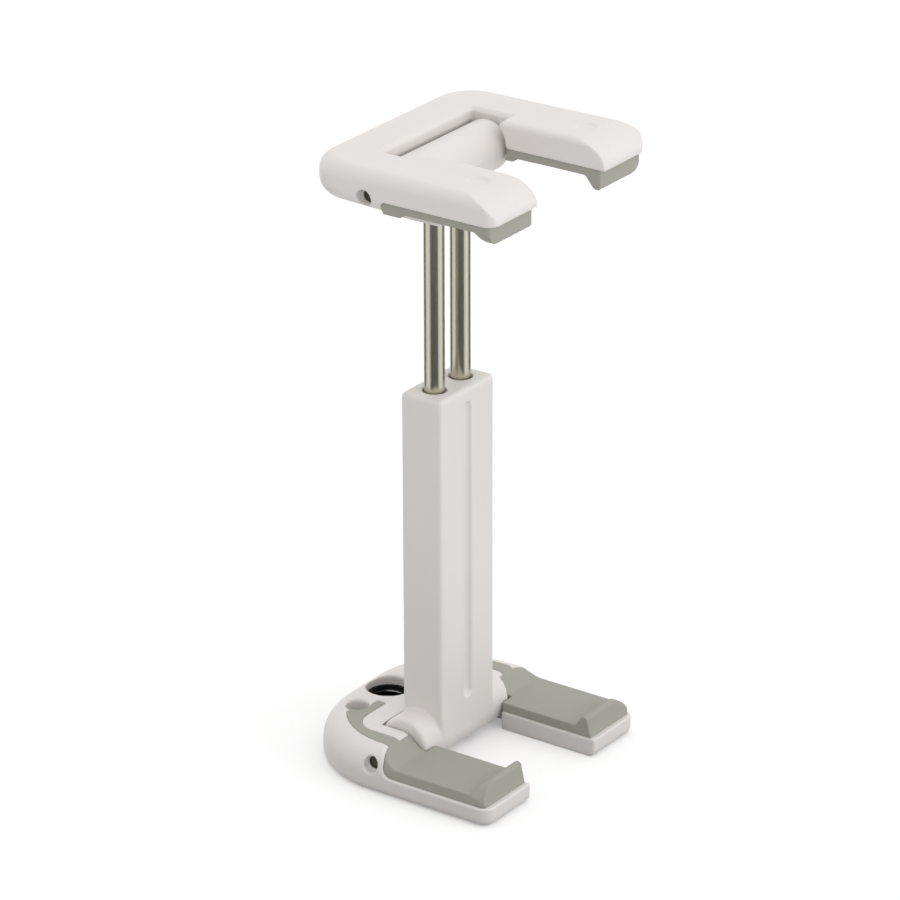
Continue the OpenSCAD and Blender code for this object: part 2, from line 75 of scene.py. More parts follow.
def box_mm(name):
    """Lowest and highest corner of a solid, in millimetres."""
    low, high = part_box(name)
    return Vector(low) / MM, Vector(high) / MM


def pivot_mm(name):
    """Y and Z of a hinge's axis, in millimetres."""
    joint = next(j for j in frame["joints"] if j["name"] == name)
    return joint["pos_m"][1] / MM, joint["pos_m"][2] / MM


hinge_y, low_axis_z = pivot_mm("base_fold")
_, up_axis_z = pivot_mm("jaw_fold")
lower_low, lower_high = box_mm("lower_jaw")
upper_low, upper_high = box_mm("upper_jaw")
column_low, column_high = box_mm("column")
head_low, head_high = box_mm("head_block")
rod_low, rod_high = box_mm("left_rod")
pin_low, pin_high = box_mm("upper_hinge_pin")
_, insert_high = box_mm("tripod_insert")
pad_low, _ = box_mm("lower_left_pad")
_, grip_high = box_mm("upper_left_pad")

jaw_half = lower_high.x
barrel_half = column_high.x
barrel_r = low_axis_z
head_r = (head_high.y - head_low.y) / 2
head_y, head_z = (head_high.y + head_low.y) / 2, head_high.z - head_r
rod_x, rod_y = (rod_low.x + rod_high.x) / -2, (rod_low.y + rod_high.y) / 2
rod_r = (rod_high.y - rod_low.y) / 2
post_front, post_back = column_low.y, 2 * rod_y - column_low.y
pin_r, pin_half = (pin_high.z - pin_low.z) / 2, pin_high.x
print(f"Jaws {2 * jaw_half:.1f} mm wide, hinge axes {up_axis_z - low_axis_z:.2f} mm apart")

# %% [markdown]
# ## The camera
# The picture was taken from the front left with a long lens, a little above the clamp. Its angle,
# distance and lens come from lining up the clamp's straight edges, so the render can be laid over
# the picture. The camera is built from three unit vectors, which is clearer than a chain of
# rotations.

# %% Set the camera
CAMERA_AZIMUTH = -54.75
CAMERA_ELEVATION = 23.54
CAMERA_ROLL = -0.17
CAMERA_DISTANCE = 816.0
CAMERA_LENS = 197.4
AIM_HEIGHT = 54.8
AIM_RIGHT = 0.37
AIM_UP = -0.46
SIGHT = 20000.0


def camera_axes():
    """Right, up and back of the camera, as unit vectors."""
    azimuth, elevation = math.radians(CAMERA_AZIMUTH), math.radians(CAMERA_ELEVATION)
    roll = math.radians(CAMERA_ROLL)
    back = Vector((
        math.sin(azimuth) * math.cos(elevation),
        -math.cos(azimuth) * math.cos(elevation),
        math.sin(elevation),
    ))
    level = Vector((0, 0, 1)).cross(back).normalized()
    upright = back.cross(level)
    right = level * math.cos(roll) + upright * math.sin(roll)
    return right, back.cross(right), back


def place_camera():
    right, up, back = camera_axes()
    aim = Vector((0, rod_y, AIM_HEIGHT)) + right * AIM_RIGHT + up * AIM_UP
    camera = bpy.data.objects.new("camera", bpy.data.cameras.new("camera"))
    camera.data.lens = CAMERA_LENS
    camera.data.clip_end = SIGHT * MM
    camera.matrix_world = (
        Matrix.Translation((aim + back * CAMERA_DISTANCE) * MM)
        @ Matrix((right, up, back)).transposed().to_4x4()
    )
    bpy.context.scene.collection.objects.link(camera)
    bpy.context.scene.camera = camera
    return camera


camera = place_camera()
print("Camera at", [round(v, 3) for v in camera.location])

# %% [markdown]
# ## Shapes from outlines
# Nearly every part of the clamp is an outline pushed along one axis, an outline turned round one,
# or a plate over round corners. So three small makers are enough: a prism, a lathe and a hull.
# Each returns a closed mesh with its faces outwards, ready for booleans.

# %% Outline helpers
turn_steps = 96


def arc(centre, radius, start, end, steps=12):
    """Points of an arc, with its angles in degrees."""
    turns = [math.radians(start + (end - start) * i / steps) for i in range(steps + 1)]
    return [(centre[0] + radius * math.cos(a), centre[1] + radius * math.sin(a)) for a in turns]


def ring(centre, radius, steps=turn_steps):
    """Points of a full circle."""
    return arc(centre, radius, 0, 360 - 360 / steps, steps - 1)


def ellipse(corner, across, up, start, end, steps=16):
    """Points of an elliptical arc that fits into a corner, with its angles in degrees."""
    centre = (corner[0] - across, corner[1] - up)
    return [
        (centre[0] + across * math.cos(a), centre[1] + up * math.sin(a))
        for a in (math.radians(start + (end - start) * i / steps) for i in range(steps + 1))
    ]


def soft_slope(start, end, steps=20):
    """Points of a slope that is level at both its ends."""
    points = []
    for i in range(steps + 1):
        share = i / steps
        rise = (1 - math.cos(math.pi * share)) / 2
        points.append((
            start[0] + (end[0] - start[0]) * share,
            start[1] + (end[1] - start[1]) * rise,
        ))
    return points


def rounded_box(low, high, radius, steps=8):
    """Outline of a rectangle with round corners."""
    points = []
    for x, y, start in (
        (high[0] - radius, low[1] + radius, -90),
        (high[0] - radius, high[1] - radius, 0),
        (low[0] + radius, high[1] - radius, 90),
        (low[0] + radius, low[1] + radius, 180),
    ):
        points += arc((x, y), radius, start, start + 90, steps)
    return points


print("A quarter circle of radius 1 has", len(arc((0, 0), 1, 0, 90)), "points")

# %% Prism and lathe
def to_object(name, work):
    """Turns a bmesh into an object with its faces pointing outwards."""
    bmesh.ops.recalc_face_normals(work, faces=work.faces)
    mesh = bpy.data.meshes.new(name)
    work.to_mesh(mesh)
    work.free()
    made = bpy.data.objects.new(name, mesh)
    bpy.context.scene.collection.objects.link(made)
    return made


def prism(outline, axis, low, high, name="tool"):
    """A closed outline pushed along an axis. Along x its points are y and z, along y they are x
    and z, and along z they are x and y."""
    work = bmesh.new()
    place = {
        "x": lambda a, b, c: (c, a, b),
        "y": lambda a, b, c: (a, c, b),
        "z": lambda a, b, c: (a, b, c),
    }[axis]
    ends = [[work.verts.new(place(a, b, level)) for a, b in outline] for level in (low, high)]
    caps = [work.faces.new(end) for end in ends]
    for i in range(len(outline)):
        k = (i + 1) % len(outline)
        work.faces.new((ends[0][i], ends[0][k], ends[1][k], ends[1][i]))
    bmesh.ops.triangulate(work, faces=caps, ngon_method="EAR_CLIP")
    return to_object(name, work)


def lathe(profile, axis, centre, steps=turn_steps, name="tool", closed=False):
    """A profile of (along the axis, radius) turned round an axis through a centre. A closed
    profile gives a ring; an open one is capped at both its ends."""
    work = bmesh.new()
    centre = Vector(centre)
    along, first, second = {
        "x": (Vector((1, 0, 0)), Vector((0, 1, 0)), Vector((0, 0, 1))),
        "z": (Vector((0, 0, 1)), Vector((1, 0, 0)), Vector((0, 1, 0))),
    }[axis]
    rings = []
    for distance, radius in profile:
        rings.append([
            work.verts.new(centre + along * distance + radius * (
                first * math.cos(2 * math.pi * i / steps)
                + second * math.sin(2 * math.pi * i / steps)
            ))
            for i in range(steps)
        ])
    pairs = list(zip(rings, rings[1:])) + ([(rings[-1], rings[0])] if closed else [])
    for near, far in pairs:
        for i in range(steps):
            k = (i + 1) % steps
            work.faces.new((near[i], near[k], far[k], far[i]))
    if not closed:
        work.faces.new(rings[0])
        work.faces.new(rings[-1])
    return to_object(name, work)


def bar(radius, low, high, y, z, name="tool"):
    """A plain cylinder along X."""
    return prism(ring((y, z), radius), "x", low, high, name)


def block(low, high, name="tool"):
    """A plain box between two corners."""
    outline = [(low[0], low[1]), (high[0], low[1]), (high[0], high[1]), (low[0], high[1])]
    return prism(outline, "z", low[2], high[2], name)


print(f"A full turn has {turn_steps} steps of {360 / turn_steps} degrees")

# %% Hull of round corners
corner_steps = 80
edge_steps = 9
least_reach = 0.01


def hull(rings, name="tool"):
    """The tightest skin round rings of points."""
    work = bmesh.new()
    for point in (p for loop in rings for p in loop):
        work.verts.new(point)
    bmesh.ops.convex_hull(work, input=work.verts)
    loose = [v for v in work.verts if not v.link_faces]
    bmesh.ops.delete(work, geom=loose, context="VERTS")
    bmesh.ops.triangulate(work, faces=work.faces)
    return to_object(name, work)


def slab(corners, low, high, name):
    """A plate over corners of (x, y, radius, lower edge radius, upper edge radius)."""
    rings = []
    for x, y, radius, low_edge, high_edge in corners:
        profile = arc((radius - low_edge, low + low_edge), low_edge, -90, 0, edge_steps)
        profile += arc((radius - high_edge, high - high_edge), high_edge, 0, 90, edge_steps)
        rings += [
            [(px, py, z) for px, py in ring((x, y), max(reach, least_reach), corner_steps)]
            for reach, z in profile
        ]
    return hull(rings, name)


def plan_prism(corners, low, high):
    """A prism over the outline that encloses round corners of (x, y, radius, ...)."""
    rings = [
        [(px, py, z) for px, py in ring((x, y), radius, corner_steps)]
        for x, y, radius, *_ in corners for z in (low, high)
    ]
    return hull(rings)


print(f"A round corner has {2 * (edge_steps + 1)} rings of {corner_steps} points")

# %% [markdown]
# ## Cutting, joining and softening
# A mould leaves no sharp corners: every edge of the plastic has a radius of a few tenths of a
# millimetre. Bevels on edges that booleans left behind often tear, so the pieces are cut first,
# then skinned again with an even grid of small faces, smoothed by a few passes, and thinned where
# they are flat. That rounds every edge alike, as polishing a mould does.

# %% Booleans
boolean_solver = "MANIFOLD"


def settle(piece):
    """Turns what the modifiers make into the piece's own mesh."""
    view = bpy.context.evaluated_depsgraph_get()
    mesh = bpy.data.meshes.new_from_object(piece.evaluated_get(view))
    spare = piece.data
    piece.modifiers.clear()
    piece.data = mesh
    mesh.name = piece.name
    bpy.data.meshes.remove(spare)
    return piece


def combine(piece, operation, tools):
    """Applies tools to a piece one after the other, and removes them."""
    for tool in tools:
        step = piece.modifiers.new("step", "BOOLEAN")
        step.object, step.operation, step.solver = tool, operation, boolean_solver
        settle(piece)
        spare = tool.data
        bpy.data.objects.remove(tool)
        bpy.data.meshes.remove(spare)
    return piece


def cut(piece, *tools):
    return combine(piece, "DIFFERENCE", tools)


def join(piece, *tools):
    return combine(piece, "UNION", tools)


def common(piece, *tools):
    return combine(piece, "INTERSECT", tools)


def split(piece):
    """Splits faces into triangles, as one with many corners may fold over at the next cut."""
    piece.modifiers.new("split", "TRIANGULATE")
    return settle(piece)


print("Pieces are cut and joined by the solver", boolean_solver)

# %% Soft moulded edges
smooth_pull = 0.5


def soften(piece, grid, passes, share):
    """Skins a piece again on a grid, smooths it, and keeps a share of its faces."""
    skin = piece.modifiers.new("skin", "REMESH")
    skin.mode, skin.voxel_size = "VOXEL", grid
    smooth = piece.modifiers.new("smooth", "SMOOTH")
    smooth.factor, smooth.iterations = smooth_pull, passes
    thin = piece.modifiers.new("thin", "DECIMATE")
    thin.ratio = share
    settle(piece)
    print(f"{piece.name}: {len(piece.data.polygons)} faces after softening")
    return piece


print(f"A smoothing pass moves a point {smooth_pull:.0%} of the way to its neighbours")

# %% [markdown]
# ## The lower jaw
# The lower jaw is one moulding: a thick round rear, with the tripod socket and a hole for a wrist
# cord, and two thin arms that carry the rubber grips. A cage of a few faces under a subdivision
# modifier would give soft corners too, but then no radius or hole could be set to its size. So it
# starts as a plate over four round corners, and the trays, the slope, the pocket for the barrel
# and all holes are cut from it by tools with real sizes.

# %% Sizes of the lower jaw
# How far a tool reaches past what it cuts, and a length past the whole clamp's width.
past = 1.0
far = 80.0

tip_corner = 2.0
rear_corner = 18.0
rear_edge = 4.5
base_edge = 1.3
tray_h = pad_low.z
pad_top = 5.0
rear_h = lower_high.z
side_inset = 0.5
jaw_skin = {"grid": 0.2, "passes": 4, "share": 0.3}

# The gap between the arms, and the room round the barrel.
gap_half = 9.45
gap_edge = 1.0
gap_inset = 0.3
pocket_gap = 0.25
pocket_side_gap = 0.3
pocket_half = barrel_half + pocket_side_gap

# The tripod socket, the cord's hole and the wider mouths of the pin's hole.
insert_r = insert_high.x
cord_x, cord_r = -9.0, 2.0
pin_mouth_r = 1.4

# The slope up to the rear, and the round heel of a grip beside it. The heel lies furthest back
# from the gap out to the cheek, and from there to the jaw's side it slants forward.
slope_start = 0.05
slope_len = 5.0
heel_back = 2.5
inner_heel_back = 1.15
cheek_w = 3.6
slope_top_y = hinge_y - slope_start
slope_foot_y = slope_top_y - slope_len
heel_y = hinge_y - heel_back
inner_heel_y = heel_y + inner_heel_back
cheek_x = jaw_half - cheek_w
heel_slant = (inner_heel_y - heel_y) / (jaw_half - side_inset - cheek_x)


def jaw_corners(low, high, rear, tip, inset=0.0):
    """Corners of a jaw between the ends of its box, drawn in by an inset. The rear and the tip
    each give their plan radius, lower edge radius and upper edge radius."""
    return [
        (side * (jaw_half - radius), y, radius - inset, *edges)
        for side in (-1, 1)
        for y, (radius, *edges) in ((high.y - rear[0], rear), (low.y + tip[0], tip))
    ]


lower_rear = (rear_corner, base_edge, rear_edge)
lower_tip = (tip_corner, base_edge, tip_corner)
slope = soft_slope((slope_foot_y, pad_top), (slope_top_y, rear_h))
print(f"The rear is {rear_h:.1f} mm high and the trays {tray_h:.1f} mm")

# %% Tools shared by the lower jaw and its grips
def lower_pocket():
    """Room for the barrel and for the column as it folds."""
    reach = barrel_r + pocket_gap
    return (
        bar(reach, -pocket_half, pocket_half, hinge_y, low_axis_z),
        block((-pocket_half, hinge_y - reach, -past), (pocket_half, hinge_y, rear_h + 2 * past)),
    )


def ahead_of_heel(rear_y, low_x, high_x, slant=0.0):
    """All that lies over the tray in front of a grip's round heel. A slant draws the heel
    forward for each millimetre out from the cheek."""
    radius = pad_top - tray_h
    front_y, top_z = lower_low.y - 2 * past, rear_h + 2 * past
    outline = [(rear_y, top_z), *arc((rear_y - radius, tray_h + radius), radius, 0, -90)]
    outline += [(front_y, tray_h), (front_y, top_z)]
    tool = prism(outline, "x", low_x, high_x)
    for corner in tool.data.vertices:
        corner.co.y -= slant * (abs(corner.co.x) - cheek_x)
    return tool


def gap_cut(tip_y, rear_y, top_z):
    """The gap between two arms, with its upper edges eased over."""
    side, centre_z = gap_half + gap_edge, top_z - gap_edge
    outline = [(-gap_half, -2 * past), (gap_half, -2 * past)]
    outline += arc((side, centre_z), gap_edge, 180, 90)
    outline += [(side, top_z + 2 * past), (-side, top_z + 2 * past)]
    outline += arc((-side, centre_z), gap_edge, 90, 0)
    return prism(outline, "y", tip_y - 2 * past, rear_y)


def pin_holes(z):
    """The pin's hole through both arms, and its wider mouths."""
    holes = [bar(pin_r, -far, far, hinge_y, z)]
    for side in (-1, 1):
        ends = sorted((side * pin_half, side * far))
        holes.append(bar(pin_mouth_r, *ends, hinge_y, z))
    return holes


print(f"A heel slants by {heel_slant:.2f} mm for each millimetre across")

# %% The runner that joins a grip to the tripod socket
runner_inset = 4.0
runner_out = jaw_half - runner_inset
runner_width = 2.8
runner_depth = 1.0
runner_front = -1.9
island_back = -3.6
island_r = 4.0
socket_rim = 1.8
runner_end = insert_r + socket_rim


def runner_outline():
    """Plan of the grey strip on the left, from the grip round to the socket."""
    disc = (rear_corner - jaw_half, lower_high.y - rear_corner)
    disc_r = rear_corner - runner_inset
    last = 180 - math.degrees(math.asin(-disc[1] / disc_r))
    island_half = runner_out - runner_width
    outline = [(-runner_out, heel_y - past), *arc(disc, disc_r, 180, last, 20)]
    outline += [
        (cord_x, 0), (cord_x, runner_front), (-runner_end, runner_front),
        (-runner_end, island_back),
    ]
    outline += arc((island_r - island_half, island_back - island_r), island_r, 90, 180)
    outline += [(-island_half, heel_y - past)]
    return outline


def runner(top):
    """The strip, from its depth under the surface up to a top over it, with the cord's hole."""
    strip = prism(runner_outline(), "z", 0, far)
    lower = [(y, z - runner_depth) for y, z in slope]
    upper = [(y, z + top) for y, z in slope]
    outline = lower + [(lower_high.y, rear_h - runner_depth), (lower_high.y, rear_h + top)]
    outline += upper[::-1]
    common(strip, prism(outline, "x", -jaw_half, 0))
    return cut(strip, prism(ring((cord_x, 0), cord_r), "z", -past, far))


def mirrored(piece):
    """Turns a left-hand mesh into its right-hand twin."""
    piece.data.transform(Matrix.Diagonal((-1, 1, 1, 1)))
    piece.data.flip_normals()
    return piece


print(f"A runner is {runner_width:.1f} mm wide and {runner_depth:.1f} mm deep")

# %% Make the lower jaw
mouth_edge = 0.5


def eased_hole(centre, radius):
    """A hole down through the rear part, with its upper mouth eased over."""
    profile = [(-past, radius)]
    profile += [
        (rear_h - mouth_edge + z, radius + mouth_edge - out)
        for out, z in arc((0, 0), mouth_edge, 0, 80, 8)
    ]
    profile += [(rear_h + past, profile[-1][1])]
    return lathe(profile, "z", (*centre, 0))


def lower_jaw():
    corners = jaw_corners(lower_low, lower_high, lower_rear, lower_tip)
    jaw = slab(corners, 0, rear_h, "lower_jaw_moulding")
    top_z = rear_h + 2 * past
    over_slope = slope + [(slope_top_y, top_z), (slope_foot_y, top_z)]
    cut(jaw, ahead_of_heel(heel_y, -far, far), prism(over_slope, "x", -far, far))
    for side in (-1, 1):
        inner = sorted((side * cheek_x, side * (gap_half + gap_inset)))
        outer = sorted((side * cheek_x, side * (jaw_half + past)))
        cut(jaw, ahead_of_heel(inner_heel_y, *inner))
        cut(jaw, ahead_of_heel(inner_heel_y, *outer, heel_slant))
    cut(jaw, *lower_pocket(), gap_cut(lower_low.y, hinge_y, tray_h + far))
    cut(jaw, *pin_holes(low_axis_z))
    cut(jaw, eased_hole((0, 0), insert_r), eased_hole((cord_x, 0), cord_r))
    cut(jaw, runner(2 * past), mirrored(runner(2 * past)))
    return soften(jaw, **jaw_skin)


jaw_below = lower_jaw()

# %% [markdown]
# ## The lower grips
# Each grip is a soft grey moulding on its arm: a flat pad, a lip at the front that stops the
# phone, a slope up to the rear and the thin runner let into the top. Nearly all of that shows in
# its side view, so the side view is pushed across the arm and trimmed by the tools that shaped the
# jaw, which makes the two fit. Both hands are alike, so the left one is made and then mirrored.

# %% Make the lower grips
lip_h = 1.9
lip_len = 3.4
lip_crest_r = 0.6
lip_crest_flat = 0.3
lip_lean = 0.7
lip_end, lip_end_drop, lip_end_fade = 5.2, 3.9, 0.36
shoulder_r = 4.0
front_inset = 0.9
grip_skin = {"grid": 0.14, "passes": 4, "share": 0.4}


def lip_profile(front_y, face_z, height, lean=0.0):
    """Side view of a lip: front face that may lean back, round crest and soft foot."""
    crest_y, crest_z = front_y + lean + lip_crest_r, face_z + height
    profile = arc((crest_y, crest_z - lip_crest_r), lip_crest_r, 180, 90)
    start = (crest_y + lip_crest_flat, crest_z)
    return profile + soft_slope(start, (front_y + lip_len, face_z))


def side_round(low_y, high_y, top_z, across, down, fade=0.0):
    """What a left grip loses along its outer upper edge, which is round seen from the front. A
    fade moves the rear end of the round outwards."""
    curve = ellipse((jaw_half - side_inset, top_z), across, down, 90, 0)
    outline = [(-x, z) for x, z in curve]
    out_x, over_z = -jaw_half - past, top_z + past
    outline += [(out_x, top_z - down), (out_x, over_z), (outline[0][0], over_z)]
    tool = prism(outline, "y", low_y, high_y)
    for corner in tool.data.vertices:
        if corner.co.y > (low_y + high_y) / 2:
            corner.co.x -= fade
    return tool


def lower_grip(name):
    front_y = lower_low.y + front_inset
    inner_x = -gap_half - gap_inset
    outline = [(front_y, tray_h)] + lip_profile(front_y, pad_top, lip_h, lip_lean) + slope
    outline += [(slope_top_y, tray_h)]
    grip = prism(outline, "x", -jaw_half, inner_x, name)
    heel = ahead_of_heel(inner_heel_y, -jaw_half - past, -cheek_x, heel_slant)
    split(common(grip, join(heel, ahead_of_heel(inner_heel_y, -cheek_x, inner_x + past))))
    corners = jaw_corners(lower_low, lower_high, lower_rear, lower_tip, side_inset)
    split(common(grip, plan_prism(corners, -past, far)))
    split(join(grip, runner(0)))
    low_y, crest_z = front_y - past, pad_top + lip_h
    cut(
        grip,
        *lower_pocket(),
        side_round(low_y, slope_top_y, rear_h, shoulder_r, shoulder_r),
        side_round(low_y, front_y + lip_len, crest_z, lip_end, lip_end_drop, lip_end_fade),
    )
    return soften(grip, **grip_skin)


def twin(piece, name):
    """The right-hand twin of a finished left-hand piece."""
    copy = bpy.data.objects.new(name, piece.data.copy())
    bpy.context.scene.collection.objects.link(copy)
    return mirrored(copy)


grip_below_left = lower_grip("lower_left_grip")
grip_below_right = twin(grip_below_left, "lower_right_grip")

# %% [markdown]
# ## The upper jaw
# The upper jaw has the same width, with a thick rounded bar across the rear. A window over the
# head's barrel lets the jaw fold. The hollow under it could be drawn by eye, but the barrel sits
# off the pin's axis, so a hull over the barrel's places through a right angle gives just the room
# that it sweeps. The underside of the bar curves up to the rear.

# %% Sizes of the upper jaw
upper_rear = (7.2, 3.0, 2.5)
upper_tip = (tip_corner, 0.6, 1.8)
belly_len = 9.4
belly_h = 6.0
nose_len = 7.0
nose_h = 4.0
window_front = 4.25
window_len = 7.4
window_edge = 0.6
arm_z = grip_high.z
heel_r = (arm_z - upper_low.z) / 2
upper_heel_back = 3.1
heel_centre = (hinge_y - upper_heel_back - heel_r, upper_low.z + heel_r)
heel_foot_angle = 50
fold_step = 15
mark_r = 1.75
mark_out = 15.3
mark_back = 7.4
mark_depth = 0.25


def head_room():
    """Room for the head's barrel through a right angle round the pin."""
    reach_y, reach_z = head_y - hinge_y, head_z - up_axis_z
    rings = []
    for degrees in range(0, 91, fold_step):
        a = math.radians(degrees)
        y = hinge_y + reach_y * math.cos(a) + reach_z * math.sin(a)
        z = up_axis_z - reach_y * math.sin(a) + reach_z * math.cos(a)
        circle = ring((y, z), head_r + pocket_gap)
        rings += [[(x, py, pz) for py, pz in circle] for x in (-pocket_half, pocket_half)]
    return hull(rings)


print(f"The barrel sweeps a room of radius {head_r + pocket_gap:.2f} mm through a right angle")

# %% Make the upper jaw
def upper_side():
    """Side view of the upper jaw: nose, level top, rounded rear and the arms' underside."""
    nose = ellipse((-upper_low.y, upper_high.z), nose_len, nose_h, 0, 90)
    belly = ellipse((upper_high.y, -upper_low.z), belly_len, belly_h, 0, 90)
    outline = [(-y, z) for y, z in nose]
    outline += [(upper_high.y + past, upper_high.z), (upper_high.y + past, -belly[0][1])]
    outline += [(y, -z) for y, z in belly]
    heel = arc(heel_centre, heel_r, -heel_foot_angle, 90, 16)
    outline += [(heel[0][0], upper_low.z), *heel, (upper_low.y, arm_z)]
    return prism(outline, "x", -far, far)


def window_bevel():
    """The bevel round the window's upper edge."""
    middle_y = hinge_y - window_front + window_len / 2
    rings = []
    lower, upper = (0, upper_high.z - window_edge), (window_edge + past, upper_high.z + past)
    for reach, z in (lower, upper):
        x, y = pocket_half + reach, window_len / 2 + reach
        rings.append([(sx * x, middle_y + sy * y, z) for sx in (-1, 1) for sy in (-1, 1)])
    return hull(rings)


def upper_jaw():
    corners = jaw_corners(upper_low, upper_high, upper_rear, upper_tip)
    jaw = slab(corners, upper_low.z, upper_high.z, "upper_jaw_moulding")
    common(jaw, upper_side())
    reach = head_r + up_axis_z - head_z + pocket_gap
    window_y = hinge_y - window_front
    cut(
        jaw,
        head_room(),
        window_bevel(),
        block((-pocket_half, window_y, up_axis_z), (pocket_half, window_y + window_len, far * 2)),
        block((-pocket_half, hinge_y - reach, 0), (pocket_half, hinge_y, up_axis_z)),
        gap_cut(upper_low.y, hinge_y, upper_high.z),
        *pin_holes(up_axis_z),
    )
    for side in (-1, 1):
        mark = ring((side * mark_out, upper_low.y + mark_back), mark_r)
        cut(jaw, prism(mark, "z", upper_high.z - mark_depth, upper_high.z + past))
    return soften(jaw, **jaw_skin)


jaw_above = upper_jaw()

# %% [markdown]
# ## The upper grips
# The upper grips are the same idea upside down, without the runner. The side view is drawn from
# the arm's underside downwards. A grip's heel is thicker than its face, as it fills the round
# recess at the rear of the arm, and it is cut clear of the barrel.

# %% Make the upper grips
upper_pad_t = 1.4
upper_lip_h = 2.1
lip_end_r = 3.0
heel_len = 3.6
ramp_len = 1.0


def upper_grip(name):
    front_y = upper_low.y + front_inset
    face_z = upper_pad_t - arm_z
    ramp_y = heel_centre[0] + heel_r - heel_len
    outline = [(front_y, -arm_z)] + lip_profile(front_y, face_z, upper_lip_h)
    outline += soft_slope((ramp_y - ramp_len, face_z), (ramp_y, -upper_low.z))
    heel = arc((heel_centre[0], -heel_centre[1]), heel_r, heel_foot_angle, -90, 16)
    outline += [(heel[0][0], -upper_low.z), *heel]
    flipped = [(y, -z) for y, z in outline]
    grip = prism(flipped, "x", -jaw_half, -gap_half - gap_inset, name)
    corners = jaw_corners(upper_low, upper_high, upper_rear, upper_tip, side_inset)
    common(grip, plan_prism(corners, 0, far * 2))
    crest_z = face_z + upper_lip_h
    end = side_round(front_y - past, front_y + lip_len, crest_z, lip_end_r, lip_end_r)
    end.data.transform(Matrix.Diagonal((1, 1, -1, 1)))
    end.data.flip_normals()
    cut(grip, end, head_room())
    return soften(grip, **grip_skin)


grip_above_left = upper_grip("upper_left_grip")
grip_above_right = twin(grip_above_left, "upper_right_grip")

# %% [markdown]
# ## The column and the head
# The column is a slim moulding with a barrel across its foot, two bores for the tubes, and a
# half-round groove down its front. The head block has the same neck and a barrel of its own.
# A barrel is turned on the lathe. It is joined to a plate over four round corners for the column,
# whose top edge is round too, and to a plain rounded prism for the head, whose top lies inside.

# %% Make the column
barrel_edge = 0.8
post_half = 7.75
post_edge = 0.8
post_foot_edge = 0.2
column_skin = {"grid": 0.2, "passes": 3, "share": 0.35}
guide_len = 8.0
groove_half = 1.15
groove_depth = 0.9
groove_foot = 10.0
groove_head = 2.4
tube_play = 0.08
mouth_play, mouth_depth = 0.28, 2.5
collar_wall = 0.35
collar_r = rod_r + collar_wall
pin_play = 0.05
wire_r = 0.21
hook_r = pin_r + pin_play + wire_r
hook_room = 0.2


def hook_slots(z):
    """Two thin discs of room in which the springs' hooks turn round a pin."""
    reach, half = hook_r + wire_r + hook_room, wire_r + hook_room
    return [bar(reach, side * rod_x - half, side * rod_x + half, hinge_y, z) for side in (-1, 1)]


def barrel(radius, y, z):
    """A hinge barrel along X with round ends."""
    profile = arc((-barrel_half + barrel_edge, radius - barrel_edge), barrel_edge, 180, 90)
    profile += arc((barrel_half - barrel_edge, radius - barrel_edge), barrel_edge, 90, 0)
    return lathe(profile, "x", (0, y, z))


def scoop(low, high, face_y):
    """The tool for a half-round groove with round ends, which stop one degree short of a point."""
    radius = (groove_half**2 + groove_depth**2) / (2 * groove_depth)
    profile = arc((low + groove_half, 0), radius, 179, 90)
    profile += arc((high - groove_half, 0), radius, 90, 1)
    return lathe(profile, "z", (0, face_y - (radius - groove_depth), 0))


def column():
    corners = [
        (side * (post_half - post_edge), y, post_edge, post_foot_edge, post_edge)
        for side in (-1, 1) for y in (post_front + post_edge, post_back - post_edge)
    ]
    post = slab(corners, low_axis_z, column_high.z, "column_moulding")
    join(post, barrel(barrel_r, hinge_y, low_axis_z))
    cut(post, bar(pin_r + pin_play, -far, far, hinge_y, low_axis_z), *hook_slots(low_axis_z))
    guide_z, mouth_z = column_high.z - guide_len, column_high.z - mouth_depth
    over_z = column_high.z + past
    for side in (-1, 1):
        centre = (side * rod_x, rod_y)
        cut(
            post,
            prism(ring(centre, collar_r + tube_play), "z", -past, guide_z),
            prism(ring(centre, rod_r + tube_play), "z", guide_z - past, over_z),
            prism(ring(centre, rod_r + mouth_play), "z", mouth_z, over_z),
        )
    cut(post, scoop(groove_foot, column_high.z - groove_head, post_front))
    return soften(post, **column_skin)


post_piece = column()

# %% Make the head block
rod_seat = 4.0
seat_step = 0.04
hook_headroom = 0.25
head_skin = {"grid": 0.16, "passes": 3, "share": 0.35}


def head():
    """The block, with a seat for each tube and a narrower room for the spring over it."""
    outline = rounded_box((-post_half, post_front), (post_half, post_back), post_edge)
    neck = prism(outline, "z", head_low.z, head_z, "head_moulding")
    join(neck, barrel(head_r, head_y, head_z))
    cut(neck, bar(pin_r + pin_play, -far, far, hinge_y, up_axis_z), *hook_slots(up_axis_z))
    room_top = up_axis_z + hook_r + wire_r + hook_headroom
    for side in (-1, 1):
        centre = (side * rod_x, rod_y)
        cut(
            neck,
            prism(ring(centre, rod_r), "z", head_low.z - past, head_low.z + rod_seat),
            prism(ring(centre, rod_r - seat_step), "z", head_low.z, room_top),
        )
    return soften(neck, **head_skin)


head_piece = head()

# %% [markdown]
# ## Drawn tubes, collars and pins
# The tubes are drawn steel with a thin wall, and their ends are cut and lightly broken. Collars
# and pins are small turned parts. A cylinder with a bevel would do for a plain pin, but one
# profile on the lathe gives wall, edge and dome at once, with enough steps that a bright finish
# shows no facets.

# %% Make the turned parts
rod_wall = 0.3
break_edge = 0.12
collar_h = 4.0
pin_dome = 0.35
tube_steps = 128
pin_steps = 64


def tube(name, side, low, high, outer, inner):
    """A tube along Z with broken edges."""
    profile = [
        (low, inner), (low, outer - break_edge), (low + break_edge, outer),
        (high - break_edge, outer), (high, outer - break_edge), (high, inner),
    ]
    return lathe(profile, "z", (side * rod_x, rod_y, 0), tube_steps, name, closed=True)


